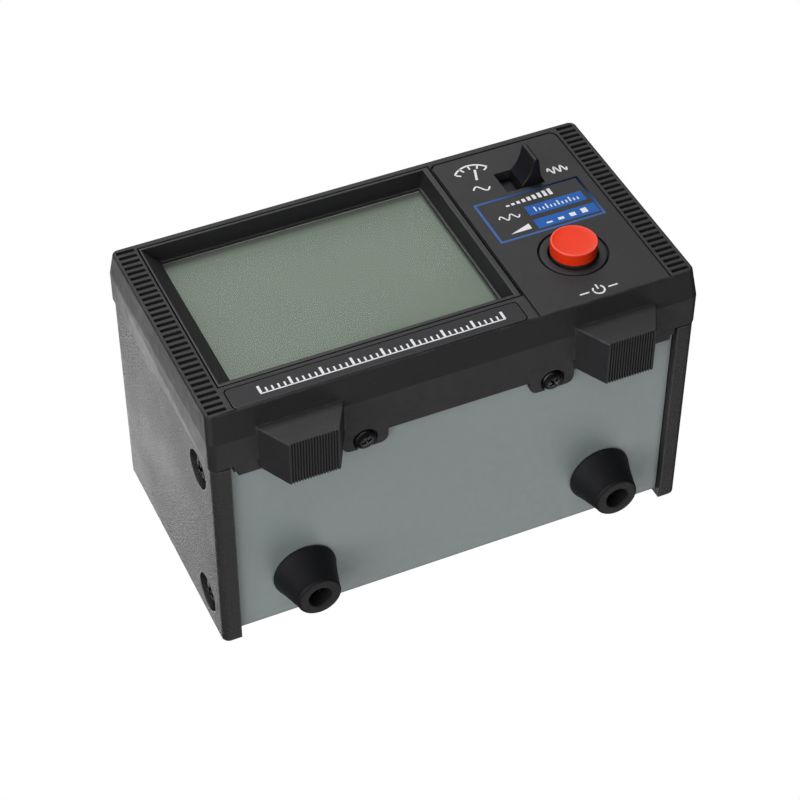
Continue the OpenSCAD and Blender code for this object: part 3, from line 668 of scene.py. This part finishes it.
# window and display
bm = bmesh.new()
slab(bm, *box_mm("display_window"), 0.10)
piece("display_glass", bm, [window_clear], "case", ["display_window"], weighted=True)
lo, hi = box_mm("lcd_panel")
bm = bmesh.new()
slab(bm, lo, (hi[0], lo[1] + 1.1, hi[2]), 0.08)
slab(bm, (lo[0], lo[1] + 1.12, lo[2] + 2.4), (hi[0], hi[1], hi[2] - 2.2), 0.08)
piece("lcd_cell", bm, [lcd_glass], "case", ["lcd_panel"], weighted=True)

# ------------------------------------------------------------------ button and collar
lo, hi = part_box("power_button")
BX, _, BZ = mm((lo + hi) / 2)
B_TOP, B_END = mm(lo)[1], mm(hi)[1]
m4 = axis_at((BX, 0, BZ), (0, -1, 0))
bm = bmesh.new()
out = -B_TOP
prof = [(0, out - 0.62), (1.8, out - 0.61), (3.4, out - 0.57), (4.4, out - 0.50), (4.85, out - 0.44), (5.05, out - 0.40)]
lathe(bm, prof + [(5.10, out - 0.395)], m4, n=96, closed=False)
# the rounded rim takes the lighter red: a painted highlight
lathe(bm, [(5.10, out - 0.395)] + arc(5.26, out - 0.62, 0.23, 92, 0, 6), m4, n=96, closed=False, mat=2)
prof = [(5.49, out - 0.62), (5.49, out - 0.62)][:1] + [(5.5, out - 0.8), (5.5, 0.75)] + [(5.38 + 0.12 * math.cos(math.radians(a)), 0.65 - 0.12 * math.sin(math.radians(a))) for a in (20, 50, 90)]
prof += [(5.30, 0.50)]
lathe(bm, prof, m4, n=96, closed=False)
# the plunger ring under the cap, with the skirt that holds it behind the collar; its black band just under the red cap
# is painted shade for the shadow under the cap's edge
ring = [(5.30, 0.50), (5.30, -3.3), (5.34, -3.38), (6.65, -3.4), (6.8, -3.55), (6.8, -4.15), (6.65, -4.3), (0, -4.3)]
lathe(bm, ring, m4, n=96, closed=False, mat=1)
piece("power_button_cap", bm, [red_plastic, collar_black, red_rim], "button", ["power_button"])

lo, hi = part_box("button_collar")
CR = (hi.x - lo.x) * 500
C_END = mm(hi)[1]
bm = bmesh.new()
prof = [(5.86, -C_END), (5.86, -0.4)] + [(6.16 - 0.30 * math.cos(math.radians(a)), -0.30 + 0.30 * math.sin(math.radians(a))) for a in (22, 45, 68, 90)]
prof += [(CR - 0.28, 0.0)] + [(CR - 0.28 + 0.28 * math.sin(math.radians(a)), -0.28 + 0.28 * math.cos(math.radians(a))) for a in (22, 45, 68, 90)]
prof += [(CR, -1.05), (CR - 0.1, -1.15), (7.1, -1.15), (7.1, -C_END + 0.1), (7.0, -C_END)]
lathe(bm, prof, m4, n=96)
piece("button_collar_ring", bm, [collar_black], "case", ["button_collar"])

# ------------------------------------------------------------------ slide lever
lo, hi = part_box("band_switch_lever")
LX = mm((lo + hi) / 2)[0]
LZ0, LZ1 = 44.92, 51.68
TIP = mm(lo)[1]
left = [(0.05, 2.7), (0.05, 1.0), (0.08, -0.55), (0.50, -1.0), (0.96, -1.5), (1.38, -2.1), (1.79, -2.8), (2.12, -3.6), (2.40, -4.5), (2.60, -5.4), (2.74, -6.2), (2.84, TIP + 0.42), (2.96, TIP + 0.20), (3.16, TIP + 0.06), (3.36, TIP)]
right = [(3.74, TIP), (3.94, TIP + 0.06), (4.14, TIP + 0.20), (4.25, TIP + 0.42), (4.34, -6.2), (4.45, -5.4), (4.60, -4.5), (4.76, -3.6), (4.90, -2.8), (5.02, -2.1), (5.12, -1.5), (5.22, -1.0), (5.32, -0.55), (5.35, 1.0), (5.35, 2.7)]
section = [(LX - 4 + x, y) for x, y in left + right]
mid = [(left[i][0] + right[-1 - i][0]) / 2 for i in range(len(left))]
mid = mid + mid[::-1]
bm = bmesh.new()
r_end = 0.40
rings = [(LZ0 + r_end * (1 - math.sin(math.radians(90 * k / 6))), r_end * (1 - math.cos(math.radians(90 * k / 6)))) for k in range(6, -1, -1)]
rings += [(LZ1 - (z - LZ0), s) for z, s in reversed(rings)]
rings = sorted(rings)
loops = []
for z, s in rings:
    loop = []
    for (x, y), c in zip(section, mid):
        w = x - (LX - 4 + c)
        k = max(0.03, abs(w) - s * 0.8) * (1 if w > 0 else -1)
        yy = y + (s * 0.8 if y < 0.5 else 0) * min(1, (2.7 - y) / 3.2)
        loop.append(bm.verts.new(P(LX - 4 + c + k, min(yy, 2.7), z)))
    loops.append(loop)
n = len(section)
for a, b in zip(loops, loops[1:]):
    for i in range(n):
        bm.faces.new([a[i], b[i], b[(i + 1) % n], a[(i + 1) % n]])
bm.faces.new(list(reversed(loops[0])))
bm.faces.new(loops[-1])
bmesh.ops.recalc_face_normals(bm, faces=bm.faces)
zs0, zs1 = mm(lo)[2], mm(hi)[2]
xs0, xs1 = mm(lo)[0], mm(hi)[0]
prism(bm, [(xs0, zs0), (xs1, zs0), (xs1, zs1), (xs0, zs1)], 2.7, mm(hi)[1])
piece("band_lever", bm, [lever_black], "selector", ["band_switch_lever"], angle=40, weighted=True)

# ------------------------------------------------------------------ cover
bm = cad_copy("cover")


def near_bore(x, y, z):
    return abs(x) > 54 and min(math.hypot(y - 22, z - 9.7), math.hypot(y - 63, z - 9.7)) < 5.4


soften(bm, near_bore, 0.22, 3, 40, 1)
soften(bm, lambda x, y, z: y > 69.5 and not near_bore(x, y, z) and (abs(x) > 59 or z < 0.5 or z > 63.5), 0.7, 4, 30, 1)
soften(bm, lambda x, y, z: y < 16 and not near_bore(x, y, z), 0.22, 2, 40, 1)
soften(bm, lambda x, y, z: z < 0.4 and 15.5 < y < 71 and 54 < abs(x) < 56.5, 0.30, 3, 40, 1)
piece("cover_shell", bm, [cover_paint, cover_edge], "case", ["cover"], weighted=True)

# ------------------------------------------------------------------ chassis
bm = cad_copy("chassis")
soften(bm, lambda x, y, z: True, 0.12, 2, 35, 1)
piece("chassis_sheet", bm, [grey_paint, grey_edge], "case", ["chassis"], weighted=True)

# ------------------------------------------------------------------ screws
bm = bmesh.new()
for i, (s, y) in enumerate([(s, y) for s in (-1, 1) for y in (22, 63)]):
    join(bm, screw((s * 57.6, y, 9.7), (s, 0, 0), 1.5, 7, 3.9, 1.9, turn=0.5 + i * 0.9))
# the cover screws take the near-black steel: painted shade in the bores
piece("cover_screws_pan", bm, [black_steel], "case", ["cover_screws"])
bm = bmesh.new()
for i, s in enumerate((-1, 1)):
    join(bm, screw((s * 23.4, 19, 0.85), (0, 0, -1), 1.25, 5, 2.7, 1.6, turn=0.35 + i * 0.4))
piece("bezel_screws_pan", bm, [tab_steel], "case", ["bezel_screws"])
lo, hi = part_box("socket_screws")
SOCK_Z = mm((lo + hi) / 2)[2]
REAR = 70.2
SOCK_XS = [i * 27 for i in (-1.5, -0.5, 0.5, 1.5)]
bm = bmesh.new()
for i, x in enumerate(SOCK_XS):
    for j, (a, b) in enumerate([(-9, -9), (9, -9), (-9, 9), (9, 9)]):
        join(bm, screw((x + a, REAR + 1.6, SOCK_Z + b), (0, 1, 0), 1.5, 7, 2.6, 1.7, turn=0.3 * i + 0.7 * j))
piece("socket_screws_pan", bm, [zinc], "case", ["socket_screws"])
# the threaded shells: a square flange and a 5/8 inch barrel with 24 threads to the inch
bm = bmesh.new()
holes = bmesh.new()
for x in SOCK_XS:
    pts = []
    for sx, sz, a0 in ((1, 1, 0), (-1, 1, 90), (-1, -1, 180), (1, -1, 270)):
        pts += [(x + sx * 11.5 + dx, SOCK_Z + sz * 11.5 + dz) for dx, dz in arc(0, 0, 1.2, a0, a0 + 90, 5)]
    prism(bm, pts, REAR, REAR + 1.6)
    for a, b, r in ((0, 0, 6.9), (-9, -9, 1.65), (9, -9, 1.65), (-9, 9, 1.65), (9, 9, 1.65)):
        k = 48 if r > 2 else 24
        prism(holes, [(x + a + r * math.cos(2 * math.pi * i / k), SOCK_Z + b + r * math.sin(2 * math.pi * i / k)) for i in range(k)], REAR - 1, REAR + 3)
bm = cut(bm, holes)
soften(bm, lambda x, y, z: y > REAR + 1.5, 0.14, 2, 40)
PITCH = 25.4 / 24


def shell_thread(r, h, a):
    if r < 7.9 or h < 4.5 or h > 14.95:
        return r, h
    run = min(1, (h - 4.5) / 0.8, (14.95 - h) / 0.5)
    ph = (h / PITCH - a / (2 * math.pi)) % 1.0
    return r - 0.52 * min(1, max(0, abs(2 * ph - 1) * 1.25 - 0.12)) * (0.35 + 0.65 * run), h


barrels = bmesh.new()
notches = bmesh.new()
for x in SOCK_XS:
    m4 = axis_at((x, REAR, SOCK_Z), (0, 1, 0))
    prof = [(6.22, -3.5), (6.22, 15.02), (6.50, 15.3), (7.30, 15.3), (7.62, 14.98)]
    k = 84
    prof += [(7.94, 14.94 - (14.94 - 4.5) * i / k) for i in range(k + 1)]
    prof += [(7.55, 4.35), (7.2, 4.2), (7.2, 1.7), (7.2, 0.05), (7.6, 0), (7.6, -3.4), (7.5, -3.5)]
    lathe(barrels, prof, m4, n=72, shape=shell_thread)
    w, e = 0.8, 9
    cross = [(w, e), (-w, e), (-w, w), (-e, w), (-e, -w), (-w, -w), (-w, -e), (w, -e), (w, -w), (e, -w), (e, w), (w, w)]
    prism(notches, [(x + a, SOCK_Z + b) for a, b in cross], REAR + 14.1, REAR + 17)
barrels = cut(barrels, notches)
join(bm, barrels)
piece("socket_shells_threaded", bm, [nickel], "case", ["socket_shells"], angle=36)
RX, RY = 38.6, 56.8
bm = bmesh.new()
for i, s in enumerate((-1, 1)):
    join(bm, screw((s * RX, RY, -7.8 + 4), (0, 0, -1), 1.5, 11.5, 2.6, 1.8, turn=0.9 + i))
piece("foot_screws_pan", bm, [foot_steel], "case", ["rubber_foot_screws"])

# ------------------------------------------------------------------ rubber feet
bm = bmesh.new()
for s in (-1, 1):
    m4 = axis_at((s * RX, RY, -7.8), (0, 0, 1))
    prof = [(1.65, 9.45), (1.65, 4.0), (2.75, 4.0), (2.75, 0.55)] + [(3.15 - 0.40 * math.cos(math.radians(a)), 0.40 - 0.40 * math.sin(math.radians(a))) for a in (20, 45, 70, 90)]
    prof += [(4.75, 0.0)] + [(4.75 + 0.72 * math.sin(math.radians(a)), 0.72 - 0.72 * math.cos(math.radians(a))) for a in (18, 36, 54, 72, 90)]
    prof += [(5.50, 1.0), (5.72, 1.9), (5.99, 2.9), (6.26, 3.9), (6.54, 4.9), (6.83, 5.9), (7.13, 6.9), (7.44, 7.8), (7.66, 8.35), (7.80, 8.7), (7.87, 9.0), (7.88, 9.25), (7.75, 9.45)]
    lathe(bm, prof, m4, n=80)
piece("rubber_feet_turned", bm, [rubber], "case", ["rubber_feet"])

# ------------------------------------------------------------------ print on the face: generic marks only
bm = bmesh.new()
F0, F1 = -0.022, 0.02           # front of the ink and its root in the plastic
N0, N1 = -0.072, -0.03          # the same on the name strip
# scale on the name strip: a base line with long and short ticks
x0, x1 = -46.0, 13.0
prism(bm, [(x0, 4.55), (x1, 4.55), (x1, 4.87), (x0, 4.87)], N0, N1)
for i in range(41):
    x = x0 + 0.2 + (x1 - x0 - 0.4) * i / 40
    long = i % 5 == 0
    h, w = (2.45, 0.62) if long else (1.45, 0.42)
    prism(bm, [(x - w / 2, 4.80), (x + w / 2, 4.80), (x + w / 2, 4.80 + h), (x - w / 2, 4.80 + h)], N0, N1)


def wave(cx, cz, length, height, periods, width):
    pts = [(cx - length / 2 + length * i / 48, cz + height / 2 * math.sin(2 * math.pi * periods * i / 48)) for i in range(49)]
    ribbon(bm, pts, width, F0, F1)


wave(28.1, 48.4, 4.2, 2.1, 1, 0.42)        # slow wave beside the lever: the low range
wave(47.6, 47.6, 4.9, 2.1, 3, 0.40)        # fast wave: the high range
# a plain gauge mark on the left of the lever: an arc with five ticks and a needle
gx, gz = 28.6, 52.3
ribbon(bm, [(gx + 5.2 * math.sin(math.radians(a)), gz + 5.2 * math.cos(math.radians(a))) for a in range(-54, 55, 6)], 0.5, F0, F1)
for a in (-54, -27, 0, 27, 54):
    sa, ca = math.sin(math.radians(a)), math.cos(math.radians(a))
    ribbon(bm, [(gx + 3.7 * sa, gz + 3.7 * ca), (gx + 5.0 * sa, gz + 5.0 * ca)], 0.45, F0, F1)
sa, ca = math.sin(math.radians(18)), math.cos(math.radians(18))
ribbon(bm, [(gx - 0.6 * sa, gz - 0.6 * ca), (gx + 3.3 * sa, gz + 3.3 * ca)], 0.6, F0, F1)
# rising bars at the head of the box
for i in range(9):
    x = 30.4 + i * 1.42
    h = 0.55 + 0.21 * i
    prism(bm, [(x, 39.75), (x + 0.85, 39.75), (x + 0.85, 39.75 + h), (x, 39.75 + h)], F0, F1)
wave(29.4, 36.2, 5.2, 1.7, 2, 0.36)
prism(bm, [(27.0, 30.4), (32.4, 30.4), (32.4, 32.3)], F0, F1)
# tick rows over the blue bars
for i in range(12):
    x = 36.0 + i * 1.0
    h = 1.7 if i % 3 == 0 else 0.95
    prism(bm, [(x, 35.5), (x + 0.34, 35.5), (x + 0.34, 35.5 + h), (x, 35.5 + h)], F0 - 0.02, F1)
for i in range(4):
    x = 36.4 + i * 3.1
    prism(bm, [(x, 30.5), (x + 1.5, 30.5), (x + 1.5, 30.5 + 0.5 + 0.38 * i), (x, 30.5 + 0.5 + 0.38 * i)], F0 - 0.02, F1)
# power mark under the button
px, pz = 36.5, 5.0
ribbon(bm, [(px + 1.35 * math.sin(math.radians(a)), pz + 1.35 * math.cos(math.radians(a))) for a in range(38, 323, 12)], 0.42, F0, F1)
prism(bm, [(px - 0.21, pz + 0.25), (px + 0.21, pz + 0.25), (px + 0.21, pz + 1.85), (px - 0.21, pz + 1.85)], F0, F1)
for s in (-1, 1):
    prism(bm, [(px + s * 3.6 - 1.2, pz - 0.2), (px + s * 3.6 + 1.2, pz - 0.2), (px + s * 3.6 + 1.2, pz + 0.2), (px + s * 3.6 - 1.2, pz + 0.2)], F0, F1)
piece("print_white", bm, [white_ink], "case")
bm = bmesh.new()
prism(bm, [(34.1, 34.6), (48.9, 34.6), (48.9, 38.1), (34.1, 38.1)], F0, F1)
prism(bm, [(33.9, 29.6), (49.8, 29.6), (49.8, 33.0), (33.9, 33.0)], F0, F1)
piece("print_blue", bm, [blue_ink], "case")
bm = bmesh.new()
bx0, bx1, bz0, bz1 = 23.7, 50.4, 28.6, 43.1
ribbon(bm, [(bx0, bz0), (bx1, bz0), (bx1, bz1), (bx0, bz1)], 0.60, F0, F1, closed=True)
piece("print_blue_outline", bm, [blue_line], "case")

# ------------------------------------------------------------------ CAD nodes that keep their shape
KEEP = {
    "lcd_holder": white_plastic, "lcd_contact_strips": elastomer, "main_board": board_green, "microcontroller": chip_black, "crystal": tin,
    "voltage_regulator": chip_black, "capacitors": sleeve, "board_headers": white_plastic, "board_screws": zinc,
    "switch_plunger": white_plastic, "power_switch_body": chip_black, "band_switch_slider": white_plastic, "band_switch_body": tin,
    "rubber_foot_nuts": zinc, "socket_insulators": ptfe, "socket_contacts": gold,
    "hf_coupler_box": tin, "hf_coupler_lid": tin, "vhf_coupler_box": tin, "vhf_coupler_lid": tin, "hf_line_rod": copper, "hf_toroid": ferrite,
    "hf_detector_board": board_green, "vhf_line": copper, "vhf_pickup_board": board_green, "coupler_lid_screws": zinc,
    "dc_inlet": black_plastic, "dc_inlet_pin": nickel, "dc_inlet_nut": nickel, "hf_lead": grey_lead, "vhf_lead": grey_lead, "dc_lead": red_lead,
}
for name, mat in KEEP.items():
    o = NODES[name]
    o.data.materials.clear()
    o.data.materials.append(mat)

# ------------------------------------------------------------------ stage
bm = bmesh.new()
bmesh.ops.create_grid(bm, x_segments=2, y_segments=2, size=3.0)
me = bpy.data.meshes.new("floor")
bm.to_mesh(me)
bm.free()
floor = bpy.data.objects.new("floor", me)
scene.collection.objects.link(floor)
fm = bpy.data.materials.new("floor_paper")
fm.use_nodes = True
t = fm.node_tree
t.nodes.clear()
fo = t.nodes.new("ShaderNodeOutputMaterial")
fb = t.nodes.new("ShaderNodeBsdfPrincipled")
fb.inputs["Base Color"].default_value = (0.80, 0.80, 0.79, 1)
fb.inputs["Roughness"].default_value = 0.9
fb.inputs["Specular IOR Level"].default_value = 0.1
ft = t.nodes.new("ShaderNodeBsdfTransparent")
fg = t.nodes.new("ShaderNodeNewGeometry")
fx = t.nodes.new("ShaderNodeMixShader")
t.links.new(fg.outputs["Backfacing"], fx.inputs[0])
t.links.new(fb.outputs[0], fx.inputs[1])
t.links.new(ft.outputs[0], fx.inputs[2])
t.links.new(fx.outputs[0], fo.inputs[0])
me.materials.append(fm)
floor.visible_diffuse = False
floor.visible_glossy = False
floor.visible_transmission = False
floor.visible_shadow = False
floor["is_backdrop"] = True

CENTRE = Vector((0, 0, 0.036))


def soft_light(name, toward, dist, size, power, size_y=None, colour=(1, 1, 1)):
    d = bpy.data.lights.new(name, "AREA")
    d.shape = "RECTANGLE"
    d.size = size
    d.size_y = size_y or size
    d.energy = power
    d.color = colour
    o = bpy.data.objects.new(name, d)
    scene.collection.objects.link(o)
    v = Vector(toward).normalized()
    o.location = CENTRE + v * dist
    o.rotation_mode = "QUATERNION"
    o.rotation_quaternion = v.to_track_quat("Z", "Y")
    o.visible_camera = False
    return o


soft_light("front", (-0.05, -0.88, 0.42), 1.0, 0.42, 5.7)
soft_light("key_top", (0.35, -0.55, 0.95), 0.9, 0.45, 1.2)
soft_light("camera_fill", (-0.25, -0.75, -0.6), 1.0, 0.8, 2.45)
soft_light("left_low", (-0.8, -0.3, -0.5), 1.0, 0.8, 5.8)
soft_light("rear_left", (-0.333, 0.659, 0.676), 0.5, 0.2, 0.64)
soft_light("rear_low", (0.32, 0.69, -0.66), 1.1, 0.8, 3.0)

w = bpy.data.worlds.new("studio")
scene.world = w
w.use_nodes = True
t = w.node_tree
t.nodes.clear()
wo = t.nodes.new("ShaderNodeOutputWorld")
a = t.nodes.new("ShaderNodeBackground")
a.inputs[0].default_value = (1, 1, 1, 1)
a.inputs[1].default_value = 0.03
b = t.nodes.new("ShaderNodeBackground")
b.inputs[0].default_value = (1, 1, 1, 1)
b.inputs[1].default_value = 1.0
lp = t.nodes.new("ShaderNodeLightPath")
mx = t.nodes.new("ShaderNodeMixShader")
t.links.new(lp.outputs["Is Camera Ray"], mx.inputs[0])
t.links.new(a.outputs[0], mx.inputs[1])
t.links.new(b.outputs[0], mx.inputs[2])
t.links.new(mx.outputs[0], wo.inputs[0])

# ------------------------------------------------------------------ camera
cam_data = bpy.data.cameras.new("camera")
cam = bpy.data.objects.new("camera", cam_data)
scene.collection.objects.link(cam)
right = Vector((0.913484, 0.004527, -0.406849))
down = Vector((-0.292437, 0.702541, -0.648781))
ahead = Vector((0.282891, 0.711629, 0.643084))
rot = Matrix((right, -down, -ahead)).transposed()
cam.matrix_world = Matrix.Translation(Vector((-0.175527, -0.400271, -0.343806))) @ rot.to_4x4()
cam_data.sensor_width = 36
cam_data.lens = 2418.248 / 800 * 36
cam_data.shift_x = (400 - 376.443) / 800
cam_data.shift_y = (465.280 - 400) / 800
cam_data.clip_start = 0.01
cam_data.clip_end = 20
scene.camera = cam

scene.view_settings.view_transform = "Standard"
scene.view_settings.look = "None"

lo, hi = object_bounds()
